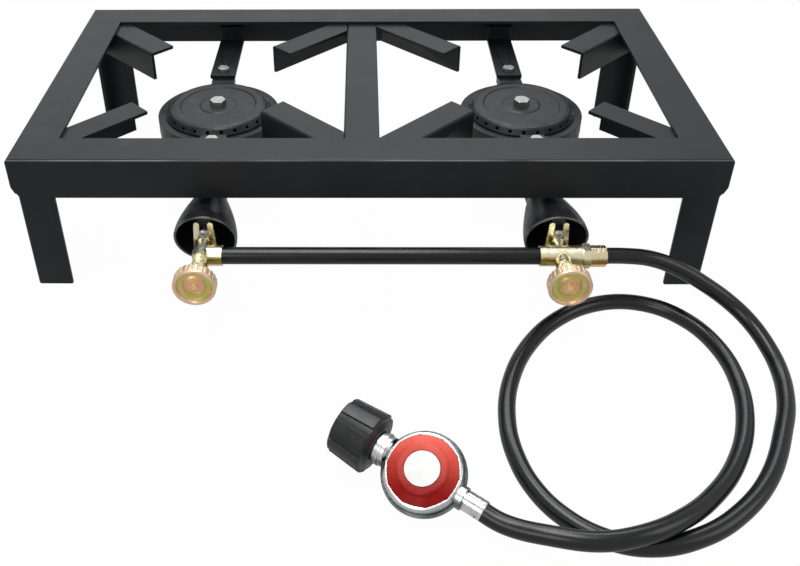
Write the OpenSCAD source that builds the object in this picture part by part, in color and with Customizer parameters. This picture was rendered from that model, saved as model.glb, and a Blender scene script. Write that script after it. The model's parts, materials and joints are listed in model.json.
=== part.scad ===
// Two-burner propane cooking stand. A welded angle-iron frame carries two cast-iron burners.
// Brass needle valves on a manifold pipe feed them, through a hose from a low-pressure regulator.
// X runs left to right, Y front to back and Z up, in millimetres. The origin lies on the floor,
// in the middle of the box that reaches from the knobs' faces to the back of the frame.

/* [Frame] */
// Width of the frame, left to right
frame_w = 580; // [540:1:700]
// Depth of the frame, front to back
frame_d = 310; // [290:1:380]
// Height of the frame's top face above the floor
stand_h = 128; // [120:1:260]
// Width of the rails' top flange
rail_flange = 35; // [30:1:42]
// Height of the rails' skirt, flange included
rail_skirt = 36; // [32:1:42]
// Wall thickness of the angle iron
rail_wall = 3; // [2:0.5:4]
// Outer radius of every bend in the angle iron
bend_r = 2.5; // [1:0.5:3]
// Length of the clipped lower corner of each skirt
clip_w = 6; // [3:1:10]
// Height of the clipped lower corner of each skirt
clip_h = 10; // [5:1:16]
// Width of each arm of a leg
leg_w = 30; // [24:1:34]
// Width of the bar between the two halves
centre_bar_w = 30; // [24:1:40]
// Depth of the centre bar's hanging flange
centre_bar_drop = 20; // [12:1:28]
// Position of the centre bar, from the middle of the frame
centre_bar_x = -5; // [-15:1:15]

/* [Pot fingers] */
// Width of a finger's top flange
finger_w = 26; // [20:1:30]
// Depth of a finger's hanging flange
finger_drop = 28; // [18:1:30]
// Distance from the middle of the pattern to a finger's tip
finger_reach = 83; // [76:1:95]
// How far the fingers reach under the rails
finger_lap = 20; // [12:1:22]
// Distance from the middle of the stand to the middle of each set of four fingers
finger_centre = 142.5; // [136:0.5:148]

/* [Burners] */
// Distance between the bells of the two burners
burner_pitch = 287; // [265:1:300]
// How far the bells and valves sit to the right of the middle
burner_shift = 10.5; // [-12:0.5:12]
// How far the burners are turned about their bells, rear end to the left
burner_turn = 2.7; // [0:0.1:4]
// Distance of the burners behind the front of the frame
burner_back = 155; // [140:1:165]
// Depth of the mixing tubes' axis below the top of the frame
axis_drop = 66; // [62:1:72]
// Outer radius of a burner bowl
bowl_r = 57; // [54:1:62]
// Depth of the bowl's rim below the top of the frame
rim_drop = 40; // [38:1:43]
// Depth of the bowl's bottom below the mixing tube's axis
bowl_drop = 18; // [16:1:24]
// Wall thickness of the cast iron
cast_wall = 4.5; // [3.5:0.5:6]
// Outer radius of the mixing tube
tube_r = 13.5; // [12:0.5:15]
// Outer radius of the bell at the mixing tube's mouth
bell_r = 26; // [25:0.5:30]
// Length of the bell
bell_len = 55; // [44:1:60]
// How far the bell's mouth stands in front of the frame
bell_reach = 15; // [10:1:18]
// How far the bell's upper lip leans to the front
bell_lean = 13; // [8:1:16]
// Number of flame ports round each cap
port_count = 24; // [12:2:30]
// Radius of a flame port
port_r = 1.6; // [1:0.1:2]
// Height of a burner cap above the bowl's rim
cap_h = 8; // [7:1:10]
// Width of the burner brackets
bracket_w = 25; // [20:1:32]
// Thickness of the burner brackets
bracket_t = 4; // [3:0.5:5]
// Height of a bracket's welded end
bracket_tab = 18; // [12:1:24]

/* [Valves] */
// Distance of the manifold's axis in front of the frame
manifold_reach = 38; // [36:1:42]
// Outer radius of the manifold pipe
pipe_r = 7; // [6:0.25:7.5]
// Outer radius of the valves' sockets
socket_r = 8.4; // [8:0.1:9.5]
// Distance from the front of the frame to the front of the knobs
knob_reach = 80; // [78:1:90]
// Outer radius of a knob
knob_r = 17; // [15:0.5:20]
// Thickness of a knob
knob_t = 9; // [8:0.5:11]
// Radius of the valve stems
stem_r = 3; // [2.5:0.1:3.2]

/* [Hose and regulator] */
// Outer radius of the hose
hose_r = 6.25; // [5.5:0.25:6.5]
// Length of the ferrules that hold the hose
ferrule_len = 13; // [11:0.5:16]
// Direction of the regulator's inlet axis on the floor, from straight across
reg_heading = -35; // [-45:1:-25]
// How far the regulator's bonnet leans to the front
reg_roll = 24; // [16:1:26]
// Radius of the regulator's rim
reg_rim_r = 29; // [28:0.5:30]
// Radius of the white disc on the bonnet
disc_r = 11.9; // [11:0.1:12.5]
// Radius of the tank nut over its ribs, at its wide end
nut_r = 22; // [22:0.5:23]
// Length of the tank nut
nut_len = 30; // [30:1:34]
// Number of ribs on the tank nut
nut_ribs = 8; // [6:1:10]

/* [Hidden] */
$fn = 64;

LEFT = -1;
RIGHT = 1;
REAR = 1;
FRONT = -1;
eps = 0.01;         // overshoot of cuts
run_gap = 0.05;     // radial clearance of shafts and threads
rest_gap = 0.3;     // clearance of pieces that don't bear on each other

// Places of the frame
front_y = -(frame_d - knob_reach) / 2;
back_y = front_y + frame_d;
mid_y = (front_y + back_y) / 2;
under_flange = stand_h - rail_wall;
skirt_bottom = stand_h - rail_skirt;
bar_left = centre_bar_x - centre_bar_w / 2;
bar_right = centre_bar_x + centre_bar_w / 2;
outer_stop = frame_w / 2 - rail_flange + finger_lap;
opening_half_w = (frame_w / 2 - rail_flange - centre_bar_w / 2) / 2;

// Places of the burners
burner_y = front_y + burner_back;
axis_z = stand_h - axis_drop;
rim_z = stand_h - rim_drop;
mouth_y = front_y - bell_reach;
bowl_bottom = axis_z - bowl_drop;
bowl_floor_r = 0.62 * bowl_r;
bowl_curve_h = 30;
cap_roof = 4;
cap_gap = 7;        // from the edge of a bowl's rim in to the edge of its cap
lug_t = 9;
lug_r = 11;
lug_back = 14;
bracket_top = skirt_bottom + bracket_t;
tube_reach = burner_y - mouth_y;
bracket_gap = 4;
post_r = 8;
bell_lip = 2;
lip_reach = bell_r * tan(bell_lean) + 1;
bore_mouth_r = bell_r - bell_lip;
bore_r = tube_r - cast_wall + 0.5;
tongue_w = 10;
tongue_t = 7;
tongue_low = 5;
screw_rise = 8.6;

// Bolts and screws: radius of the shank, width across the flats, height of the head
bolt_r = 3;
bolt_af = 10;
bolt_head = 4;
nut_h = 5;
cap_bolt_r = 4;
cap_bolt_af = 13;
cap_bolt_head = 5;
fork_screw_r = 2.4;
fork_screw_head_r = 3.9;
knob_screw_r = 1.5;

// Places of the valves, as distances in front of the frame
plate_t = 4;
plate_f = bell_reach + plate_t;
neck_r = 5.2;
rear_neck_r = 6.4;
thin_neck_f = plate_f + 3.6;
thin_neck_r = 4.3;
flats_w = 11.2;     // width of the flats round the crossing of the bores
body_front_f = manifold_reach + 22;
packing_f = body_front_f - 5;
packing_r = 4.2;
packing_nut_back_f = body_front_f - 4;
packing_nut_front_f = body_front_f + 5;
packing_nut_af = 14;
spud_len = 5;
spud_r = 3.9;
spud_thread = 8;
spud_thread_r = 3;
seat_r = 1.2;
needle_f = plate_f + 12;
left_socket = 17;
tee_left = 17.5;
tee_right = 16.4;
socket_depth = 8.5;
gas_r = 3.6;
hub_r = 6;
hub_back_f = knob_reach - 12;
web_f = knob_reach - 3.4;
boss_f = knob_reach - 2;

// Places of the hose and the regulator
hose_thread_r = 5.45;
hose_hex_af = 17.5;
hose_hex_len = 5.7;
barb_r = 3.2;
fitting_x = RIGHT * burner_pitch / 2 + burner_shift + tee_right;
hose_start_x = fitting_x + hose_hex_len;
ferrule_r = 8.7;
reg_at = [36.6, -336.4, 19.4];
reg_dip = 5.6;
reg_outlet = 32.5;
reg_inlet = 36;
reg_ferrule_len = 14;
reg_ferrule_r = 7;
reg_base = 15;
reg_joint_z = 1;
reg_seat_r = reg_rim_r - 3.9;
reg_lip_z = 8.4;
reg_lip_t = 0.8;
diaphragm_t = 1.2;
bonnet_base = reg_joint_z + diaphragm_t;
bonnet_top = 13.2;
bonnet_roof = 1.8;
disc_t = 0.8;
nut_back = reg_inlet + 0.6;
nut_web = 9;
nut_bore_r = 15.2;
nut_hub_r = 14;
nut_hub_len = 2.1;
nipple_neck_r = 7.5;

function lerp(a, b, t) = a + (b - a) * t;
function burner_x(side) = side * burner_pitch / 2 + burner_shift;
// Place on the middle line of a turned burner, at a distance behind its mouth
function burner_point(side, back) = [burner_x(side) - back * sin(burner_turn),
    mouth_y + back * cos(burner_turn), 0];
function lug_point(side, end) = burner_point(side, tube_reach + end * (bowl_r + lug_back));

// ---- Frame ----

// Section of an angle: its outer corner at the origin, arms of length a along +x and b along -y.
module angle_section(a, b, t, r) {
    difference() {
        union() {
            translate([0, -t]) square([a, t]);
            translate([0, -b]) square([t, b]);
        }
        difference() {
            translate([-1, -r]) square([r + 1, r + 1]);
            translate([r, -r]) circle(r);
        }
    }
}

// Rail of length len with its outer top edge along X, flange to +Y and skirt down, mitred ends.
module rail(len) {
    difference() {
        intersection() {
            translate([-len / 2, 0, 0]) rotate([90, 0, 90])
                linear_extrude(len) angle_section(rail_flange, rail_skirt, rail_wall, bend_r);
            translate([0, 0, -rail_skirt - 1]) linear_extrude(rail_skirt + 2)
                polygon([[-len / 2, 0], [len / 2, 0],
                    [len / 2 - rail_flange, rail_flange], [rail_flange - len / 2, rail_flange]]);
        }
        for (end = [LEFT, RIGHT]) scale([end, 1, 1]) skirt_clip(len);
    }
}

module skirt_clip(len) {
    translate([0, rail_flange + 1, 0]) rotate([90, 0, 0]) linear_extrude(rail_flange + 2)
        polygon([[len / 2 + 1, -rail_skirt - 1], [len / 2 - clip_w, -rail_skirt - 1],
            [len / 2 - clip_w, -rail_skirt], [len / 2, clip_h - rail_skirt],
            [len / 2 + 1, clip_h - rail_skirt]]);
}

module leg(side, end) {
    corner = [side * (frame_w / 2 - rail_wall), end == FRONT ? front_y + rail_wall : back_y - rail_wall, 0];
    color("#26282a") translate(corner)
        mirror([side == RIGHT ? 1 : 0, 0, 0]) mirror([0, end == REAR ? 1 : 0, 0])
        linear_extrude(under_flange) mirror([0, 1]) angle_section(leg_w, leg_w, rail_wall, bend_r);
}

module frame_rail(at, turn, len) {
    color("#2b2d2f") translate([at[0], at[1], stand_h]) rotate([0, 0, turn]) rail(len);
}

module centre_bar() {
    bar_len = frame_d - 2 * rail_wall;
    color("#26282a") translate([bar_left, back_y - rail_wall, under_flange]) rotate([90, 0, 0])
        linear_extrude(bar_len) angle_section(centre_bar_w, centre_bar_drop, rail_wall, bend_r);
}

// Finger of one burner: end is FRONT or REAR, inner says whether it starts at the centre bar.
// The hanging flange is on the side away from the middle of the stand.
module finger(side, end, inner) {
    gap_y = end == REAR ? back_y - rail_flange - burner_y : burner_y - front_y - rail_flange;
    lean = atan2(gap_y, opening_half_w);
    heading = (inner ? lean : 180 - lean) * end;
    low_x = side == LEFT ? -outer_stop : bar_right;
    high_x = side == LEFT ? bar_left : outer_stop;
    reach = frame_w / 2;
    color("#2b2d2f") intersection() {
        mirror([side == RIGHT ? 1 : 0, 0, 0])
            translate([-finger_centre, burner_y, under_flange]) rotate([0, 0, heading])
                translate([finger_reach, 0, 0]) mirror([0, end == REAR ? 1 : 0, 0])
                    translate([0, -finger_w / 2, 0]) rotate([90, 0, 90])
                        linear_extrude(reach) angle_section(finger_w, finger_drop, rail_wall, bend_r);
        translate([low_x, front_y + rail_flange - finger_lap, 0])
            cube([high_x - low_x, frame_d - 2 * (rail_flange - finger_lap), stand_h]);
    }
}

// ---- Burners ----

module hex_prism(af, h) {
    cylinder(h = h, r = af / 2 / cos(30), $fn = 6);
}

// Flat bar from a skirt to a burner's lug, with its end turned up and welded to the skirt.
module bracket(side, end) {
    wall_y = end == REAR ? back_y - rail_wall : front_y + rail_wall;
    bar_len = abs(wall_y - burner_y) - bowl_r - bracket_gap;
    color("#222426") difference() {
        translate([lug_point(side, end)[0] - bracket_w / 2, wall_y, skirt_bottom])
            mirror([0, end == REAR ? 1 : 0, 0]) rotate([90, 0, 90]) linear_extrude(bracket_w)
                mirror([0, 1]) angle_section(bar_len, bracket_tab, bracket_t, bend_r);
        translate(lug_point(side, end) + [0, 0, skirt_bottom - 1])
            cylinder(h = bracket_t + 2, r = bolt_r + rest_gap);
    }
}

// Half section of the bowl, wall in from the outside
function bowl_section(wall, floor_z, top_z) = concat([[0, floor_z]],
    [for (i = [0:8]) let (a = i * 90 / 8)
        [lerp(bowl_floor_r, bowl_r, sin(a)) - wall, floor_z + bowl_curve_h * (1 - cos(a))]],
    [[bowl_r - wall, top_z], [0, top_z]]);

// Half section of the mixing tube from its mouth: a cup that closes down to the neck
function tube_section(mouth, neck, len) = concat([[0, -lip_reach], [mouth, -lip_reach]],
    [for (i = [0:12]) let (t = i / 12) [lerp(mouth, neck, pow(t, 1.4)), lerp(3, bell_len, t)]],
    [[neck, len], [0, len]]);

// Local frames of a burner: Z runs back along its mixing tube, or up from the floor under its bowl
module along_tube(side) {
    translate([burner_x(side), mouth_y, axis_z]) rotate([0, 0, burner_turn]) rotate([-90, 0, 0]) children();
}

module at_bowl(side) {
    translate(burner_point(side, tube_reach)) rotate([0, 0, burner_turn]) children();
}

// Ear that hangs under a bracket
module burner_lug(end) {
    translate([0, end * (bowl_r + lug_back), skirt_bottom - lug_t]) cylinder(h = lug_t, r = lug_r);
    translate([-lug_r, end == REAR ? bowl_r - 2 * cast_wall : -bowl_r - lug_back, skirt_bottom - lug_t])
        cube([2 * lug_r, lug_back + 2 * cast_wall, lug_t]);
}

module burner(side) {
    color("#1e2022") difference() {
        union() {
            difference() {
                union() {
                    at_bowl(side) {
                        rotate_extrude() polygon(bowl_section(0, bowl_bottom, rim_z));
                        burner_lug(FRONT);
                        burner_lug(REAR);
                    }
                    along_tube(side) rotate_extrude()
                        polygon(tube_section(bell_r, tube_r, tube_reach - bowl_r / 2));
                }
                at_bowl(side) rotate_extrude()
                    polygon(bowl_section(cast_wall, bowl_bottom + cast_wall, rim_z + 2 * lug_t));
                along_tube(side) translate([0, 0, -eps]) rotate_extrude()
                    polygon(tube_section(bore_mouth_r, bore_r, tube_reach - 2 * post_r));
                translate([burner_x(side), mouth_y, axis_z]) rotate([bell_lean, 0, 0])
                    translate([-2 * bell_r, -4 * lip_reach, -2 * bell_r])
                        cube([4 * bell_r, 4 * lip_reach, 4 * bell_r]);
            }
            at_bowl(side) translate([0, 0, bowl_bottom])
                cylinder(h = rim_z + cap_roof - bowl_bottom - eps, r = post_r);
            at_bowl(side) cap_ledge();
            screw_tongue(side);
        }
        at_bowl(side) translate([0, 0, rim_z - 2 * cap_h]) cylinder(h = 4 * cap_h, r = cap_bolt_r + run_gap);
        translate([burner_x(side), mouth_y - 1, axis_z + screw_rise]) rotate([-90, 0, 0])
            cylinder(h = tongue_t + 2, r = fork_screw_r + run_gap);
        for (end = [FRONT, REAR]) translate(lug_point(side, end) + [0, 0, skirt_bottom - lug_t - 1])
            cylinder(h = lug_t + 2, r = bolt_r + rest_gap);
    }
}

// Ledge inside a bowl's rim that carries the cap
module cap_ledge() {
    seat_in = bowl_r - cap_gap - 4;
    rotate_extrude() polygon([[bowl_r - cast_wall / 2, rim_z - 10], [bowl_r - cast_wall / 2, rim_z],
        [seat_in, rim_z], [seat_in, rim_z - 3]]);
}

// Tongue that hangs from the bell's upper lip and takes the screw of the valve's fork
module screw_tongue(side) {
    translate([burner_x(side) - tongue_w / 2, mouth_y, axis_z + tongue_low])
        cube([tongue_w, tongue_t, bore_mouth_r + 1 - tongue_low]);
}

// Half section of the cap: a shallow dish whose sloping edge holds the flame ports
module cap_section() {
    edge = bowl_r - cap_gap;
    skirt = 6;
    polygon([[0, cap_roof], [edge - skirt, cap_roof], [edge - skirt, 0], [edge, 0], [edge, 1.5],
        [edge - 3.5, cap_h - 2], [edge - 5, cap_h - 0.8], [edge - 8, cap_h], [edge - 14, cap_h],
        [edge - 15, cap_h - 1], [18, cap_h - 1], [16, cap_h], [0, cap_h]]);
}

module burner_cap(side) {
    edge = bowl_r - cap_gap;
    color("#1a1c1e") at_bowl(side) translate([0, 0, rim_z]) difference() {
        rotate_extrude() cap_section();
        translate([0, 0, -1]) cylinder(h = cap_h + 2, r = cap_bolt_r + rest_gap);
        for (i = [0:port_count - 1]) rotate([0, 0, (i + 0.5) * 360 / port_count])
            translate([edge - cap_h, 0, 1]) rotate([0, 65, 0]) cylinder(h = 1.6 * cap_h, r = port_r);
    }
}

module cap_bolts() {
    grip = 2.8 * cap_h;
    color("#8d8f90") for (side = [LEFT, RIGHT])
        at_bowl(side) translate([0, 0, rim_z + cap_h]) {
            intersection() {
                hex_prism(cap_bolt_af, cap_bolt_head);
                cylinder(h = cap_bolt_head, r1 = cap_bolt_af, r2 = cap_bolt_af / 2 + 0.4);
            }
            translate([0, 0, -grip]) cylinder(h = grip + eps, r = cap_bolt_r);
        }
}

module at_bracket_bolts() {
    for (side = [LEFT, RIGHT]) for (end = [FRONT, REAR])
        translate(lug_point(side, end)) children();
}

module bracket_bolts() {
    grip = lug_t + bracket_t + nut_h + 2;
    color("#9a9c9d") at_bracket_bolts() translate([0, 0, bracket_top]) {
        hex_prism(bolt_af, bolt_head);
        translate([0, 0, -grip]) cylinder(h = grip + eps, r = bolt_r);
    }
}

module bracket_nuts() {
    color("#9a9c9d") at_bracket_bolts() translate([0, 0, skirt_bottom - lug_t - nut_h]) difference() {
        hex_prism(bolt_af, nut_h);
        translate([0, 0, -1]) cylinder(h = nut_h + 2, r = bolt_r + run_gap);
    }
}

// ---- Valves ----

// Local frame of a valve: Z runs to the front from the frame's front face, X to the right, Y up.
module at_valve(side) {
    translate([burner_x(side), front_y, axis_z]) rotate([90, 0, 0]) children();
}

// Round bar between two distances in front of the frame
module bar_f(from_f, to_f, r) {
    translate([0, 0, from_f]) cylinder(h = to_f - from_f, r = r);
}

// Bar along X between two distances from the valve's axis
module bar_x(from_x, to_x, r) {
    translate([from_x, 0, manifold_reach]) rotate([0, 90, 0]) cylinder(h = to_x - from_x, r = r);
}

// Upright fork: two tapered prongs straddle the screw in the burner's tongue
module fork_plate() {
    translate([0, 0, bell_reach]) linear_extrude(plate_t) difference() {
        union() {
            polygon([[-9.2, -8], [9.2, -8], [9.2, -2], [7.8, 16.4], [-7.8, 16.4], [-9.2, -2]]);
            for (s = [-1, 1]) translate([s * 5.6, 16.4]) circle(2.2);
        }
        polygon([[-2.6, 5], [2.6, 5], [3.4, 6.4], [3.4, 22], [-3.4, 22], [-3.4, 6.4]]);
    }
}

module valve_body(side) {
    color("#c9b15a") at_valve(side) difference() {
        union() {
            fork_plate();
            bar_f(plate_f - eps, thin_neck_f, thin_neck_r);
            bar_f(thin_neck_f - eps, manifold_reach, rear_neck_r);
            if (side == LEFT) intersection() {
                bar_f(manifold_reach - 10, manifold_reach + 10, socket_r + 1);
                translate([-flats_w / 2, -socket_r - 2, manifold_reach - 11])
                    cube([flats_w, 2 * socket_r + 4, 22]);
            }
            bar_f(manifold_reach, packing_nut_back_f - 4, rear_neck_r);
            bar_f(packing_nut_back_f - 4 - eps, body_front_f, neck_r);
            if (side == LEFT) bar_x(0, left_socket, socket_r);
            if (side == RIGHT) bar_x(-tee_left, tee_right, socket_r);
        }
        bar_f(bell_reach - 1, bell_reach + spud_thread, spud_thread_r + run_gap);
        bar_f(bell_reach, needle_f, seat_r);
        bar_f(needle_f, body_front_f + 1, stem_r + run_gap);
        bar_f(packing_f, body_front_f + 1, packing_r + run_gap);
        if (side == LEFT) bar_x(0, left_socket, gas_r);
        if (side == LEFT) bar_x(left_socket - socket_depth, left_socket + 1, pipe_r + run_gap);
        if (side == RIGHT) bar_x(-tee_left, tee_right, gas_r);
        if (side == RIGHT) bar_x(-tee_left - 1, socket_depth - tee_left, pipe_r + run_gap);
        if (side == RIGHT) bar_x(tee_right - socket_depth - 1, tee_right + 1, hose_thread_r + run_gap);
    }
}

module orifice(side) {
    color("#d0ba6a") at_valve(side) difference() {
        union() {
            bar_f(bell_reach - spud_len, bell_reach, spud_r);
            bar_f(bell_reach - eps, bell_reach + spud_thread - 1, spud_thread_r);
        }
        bar_f(0, bell_reach + spud_thread, 0.7);
    }
}

// Needle valve stem, closed at rest: its cone sits in the seat
module stem(side) {
    color("#b9a65e") at_valve(side) difference() {
        union() {
            translate([0, 0, needle_f - 1.8]) cylinder(h = 3.8, r1 = 0.5, r2 = seat_r * 0.9);
            translate([0, 0, needle_f + 2 - eps]) cylinder(h = 4, r1 = seat_r * 0.9, r2 = stem_r);
            bar_f(needle_f + 6 - 2 * eps, web_f - 0.1, stem_r);
        }
        bar_f(web_f - 10, web_f, knob_screw_r + run_gap);
    }
}

module packing(side) {
    color("#e8e4d8") at_valve(side) difference() {
        bar_f(packing_f, body_front_f - eps, packing_r);
        bar_f(packing_f - 1, body_front_f + 1, stem_r + run_gap);
    }
}

module packing_nut(side) {
    color("#cdb663") at_valve(side) difference() {
        union() {
            translate([0, 0, packing_nut_back_f])
                hex_prism(packing_nut_af, packing_nut_front_f - packing_nut_back_f - 2);
            bar_f(packing_nut_front_f - 2 - eps, packing_nut_front_f, packing_nut_af / 2 - 0.6);
        }
        bar_f(packing_nut_back_f - 1, body_front_f, neck_r + run_gap);
        bar_f(body_front_f - 1, packing_nut_front_f + 1, stem_r + run_gap);
    }
}

// Half section of the pressed-steel knob, as radius and distance in front of the frame
module knob_section() {
    back = knob_reach - knob_t;
    wall = 1.6;
    polygon([[0, hub_back_f], [hub_r, hub_back_f], [hub_r, boss_f - 3.6], [knob_r - 4.4, boss_f - 3.6],
        [knob_r - wall - 1.2, boss_f - 1.4], [knob_r - wall, boss_f - 2.4], [knob_r - wall, back],
        [knob_r, back], [knob_r, knob_reach - 1.4], [knob_r - 0.4, knob_reach - 0.5],
        [knob_r - 1.4, knob_reach],
        [knob_r - 2.6, knob_reach - 0.3], [knob_r - 4, boss_f - 1.6], [hub_r + 3.4, boss_f - 2],
        [hub_r + 1.8, boss_f - 0.9], [hub_r - 0.6, boss_f], [0, boss_f]]);
}

module knob(side) {
    flutes = 24;
    color("#c9a077") at_valve(side) difference() {
        rotate_extrude() knob_section();
        bar_f(hub_back_f - 1, web_f, stem_r + run_gap);
        bar_f(web_f - 1, knob_reach + 1, knob_screw_r + run_gap);
        for (i = [0:flutes - 1]) rotate([0, 0, i * 360 / flutes])
            translate([knob_r + 0.5, 0, knob_reach - knob_t - 1]) cylinder(h = knob_t - 1, r = 1);
    }
}

module knob_screw(side) {
    color("#b8babb") at_valve(side) {
        bar_f(web_f - 8, boss_f + eps, knob_screw_r);
        bar_f(boss_f, boss_f + 1.4, 2 * knob_screw_r);
    }
}

module fork_screws() {
    head = 3;
    color("#c4c6c8") for (side = [LEFT, RIGHT]) at_valve(side) translate([0, screw_rise, 0]) {
        difference() {
            union() {
                bar_f(plate_f, plate_f + head - 1, fork_screw_head_r);
                translate([0, 0, plate_f + head - 1 - eps])
                    cylinder(h = 1, r1 = fork_screw_head_r, r2 = fork_screw_head_r - 1.4);
            }
            for (turn = [0, 90]) rotate([0, 0, turn])
                translate([-2.1, -0.5, plate_f + head - 1.6]) cube([4.2, 1, 3]);
        }
        bar_f(bell_reach - tongue_t + 1, plate_f + eps, fork_screw_r);
    }
}

module manifold_pipe() {
    from_x = burner_x(LEFT) + left_socket - socket_depth + rest_gap;
    to_x = burner_x(RIGHT) - tee_left + socket_depth - rest_gap;
    color("#1f2123") translate([from_x, front_y - manifold_reach, axis_z]) rotate([0, 90, 0]) difference() {
        cylinder(h = to_x - from_x, r = pipe_r);
        translate([0, 0, -1]) cylinder(h = to_x - from_x + 2, r = pipe_r - 2.2);
    }
}

// ---- Hose ----

// Local frame of the hose's end at the tee: Z runs along +X from the tee's mouth
module at_tee_mouth() {
    translate([fitting_x, front_y - manifold_reach, axis_z]) rotate([0, 90, 0]) children();
}

module hose_fitting() {
    color("#c9b15a") at_tee_mouth() difference() {
        union() {
            translate([0, 0, -socket_depth + 0.5]) cylinder(h = socket_depth, r = hose_thread_r);
            rotate([0, 0, 30]) hex_prism(hose_hex_af, hose_hex_len);
            cylinder(h = hose_hex_len + ferrule_len - 2, r = barb_r);
        }
        translate([0, 0, -socket_depth]) cylinder(h = socket_depth + hose_hex_len + ferrule_len, r = 2);
    }
}

module valve_ferrule() {
    color("#cfa860") at_tee_mouth() translate([0, 0, hose_hex_len]) ferrule(ferrule_r, ferrule_len);
}

// Crimped sleeve round the hose, with two shallow crimp grooves
module ferrule(r, len) {
    difference() {
        union() {
            cylinder(h = len - 1, r = r);
            translate([0, 0, len - 1 - eps]) cylinder(h = 1 + eps, r1 = r, r2 = r - 0.8);
        }
        translate([0, 0, -1]) cylinder(h = len + 2, r = hose_r + run_gap);
        for (at = [0.4, 0.7]) translate([0, 0, at * len - 0.6]) difference() {
            cylinder(h = 1.2, r = r + 1);
            translate([0, 0, -1]) cylinder(h = 4, r = r - 0.25);
        }
    }
}

// Unit vector of the regulator's outlet axis, and a point on it
reg_axis = [cos(reg_dip) * cos(reg_heading), cos(reg_dip) * sin(reg_heading), -sin(reg_dip)];
function on_reg_axis(x) = reg_at + x * reg_axis;

// Route of the hose's centre line: down from the tee, one loop on the floor that passes under
// its own end, and up into the regulator's ferrule
hose_route = concat(
    [[hose_start_x, front_y - manifold_reach, axis_z], [206, -153, 62]],
    [[227, -153, 59], [249, -154, 50], [271, -158, 37.5], [291, -167, 25], [306, -182, 14.5],
    [315, -204, 8.5], [317, -232, 6.3], [311, -262, 6.3], [297, -292, 6.3], [276, -321, 6.3],
    [249, -348, 6.3], [218, -371, 6.3], [189, -383, 6.3], [161, -382, 6.3], [136, -368, 6.3],
    [115, -341, 6.3], [103, -308, 6.3], [99, -274, 6.3], [105, -240, 6.3], [120, -207, 6.3],
    [144, -176, 6.3], [174, -153, 6.3], [206, -143, 6.3], [237, -146, 6.3], [263, -162, 6.3],
    [279, -189, 6.3], [283, -222, 6.3], [279, -256, 6.3], [268, -289, 6.3], [250, -320, 6.3],
    [228, -347, 9], [205, -364, 15], [181, -377, 19.4], [156, -385, 20], [132, -387, 18],
    [112, -385, 15.5]],
    [on_reg_axis(reg_outlet + reg_ferrule_len + 14), on_reg_axis(reg_outlet)]);
hose_sides = 10;

function unit(v) = v / norm(v);
function route_heading(route, i) = unit(i == 0 ? route[1] - route[0] :
    i == len(route) - 1 ? route[i] - route[i - 1] : route[i + 1] - route[i - 1]);
function ring(centre, ahead, r) = let (side = unit(cross(ahead, [0, 0, 1])), up = cross(side, ahead))
    [for (k = [0:hose_sides - 1]) let (a = k * 360 / hose_sides)
        centre + r * (cos(a) * side + sin(a) * up)];

module hose() {
    rings = [for (i = [0:len(hose_route) - 1])
        each ring(hose_route[i], route_heading(hose_route, i), hose_r)];
    last = len(rings) - hose_sides;
    walls = [for (i = [0:len(hose_route) - 2]) for (k = [0:hose_sides - 1])
        let (a = i * hose_sides + k, b = i * hose_sides + (k + 1) % hose_sides)
        each [[a, a + hose_sides, b], [b, a + hose_sides, b + hose_sides]]];
    start_cap = [for (k = [0:hose_sides - 1]) k];
    end_cap = [for (k = [hose_sides - 1:-1:0]) last + k];
    color("#1b1d1f") polyhedron(rings, concat([start_cap], walls, [end_cap]));
}

// ---- Regulator ----

// Local frame of the regulator: X along its outlet, Z out of its bonnet
module at_regulator() {
    translate(reg_at) rotate([0, 0, reg_heading]) rotate([0, reg_dip, 0]) rotate([reg_roll, 0, 0]) children();
}

// Round bar along the regulator's inlet and outlet axis
module reg_bar(from_x, to_x, r) {
    translate([from_x, 0, 0]) rotate([0, 90, 0]) cylinder(h = to_x - from_x, r = r);
}

module regulator_ferrule() {
    color("#c9ccce") at_regulator() translate([reg_outlet, 0, 0]) rotate([0, 90, 0])
        ferrule(reg_ferrule_r, reg_ferrule_len);
}

// Die-cast body: a bowl below the rim, and a cone above it whose lip is rolled over the bonnet
module regulator_body() {
    wall_r = reg_rim_r - 2.9;
    chamber_r = reg_rim_r - 8;
    color("#aab0b3") at_regulator() difference() {
        union() {
            rotate_extrude() polygon([[0, -reg_base], [12, -reg_base], [14, 1 - reg_base], [18, -10],
                [reg_rim_r - 4, -5], [reg_rim_r - 0.8, -1.6], [reg_rim_r, -0.4], [reg_rim_r, 2.4],
                [reg_rim_r - 0.6, 3.4], [reg_rim_r - 0.9, 3.9], [reg_rim_r - 1.4, 3.2],
                [reg_rim_r - 1.6, 4.9], [wall_r, reg_lip_z], [0, reg_lip_z]]);
            difference() {
                union() {
                    reg_bar(-reg_inlet, -12, 11);
                    reg_bar(-reg_inlet + 3, -reg_inlet + 4.6, 11.8);
                }
                translate([0, 0, 2.2]) cylinder(h = 20, r = reg_rim_r - 0.3);
            }
            reg_bar(0, reg_outlet - 1.5, 8);
            reg_bar(reg_outlet - 3, reg_outlet, 6.6);
        }
        rotate_extrude() polygon([[0, reg_joint_z - 5], [chamber_r, reg_joint_z - 5],
            [chamber_r, reg_joint_z], [reg_seat_r, reg_joint_z], [reg_seat_r, reg_lip_z - reg_lip_t],
            [reg_seat_r - 0.7, reg_lip_z - reg_lip_t], [reg_seat_r - 0.7, reg_lip_z + 9],
            [0, reg_lip_z + 9]]);
        reg_bar(-reg_inlet - 1, -12, 5 + run_gap);
        reg_bar(12, reg_outlet + 1, 3.4);
    }
}

module regulator_diaphragm() {
    color("#2a2a2c") at_regulator() translate([0, 0, reg_joint_z]) {
        cylinder(h = diaphragm_t, r = reg_seat_r - rest_gap);
        translate([0, 0, diaphragm_t - eps]) cylinder(h = 1, r = 10);
    }
}

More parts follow.
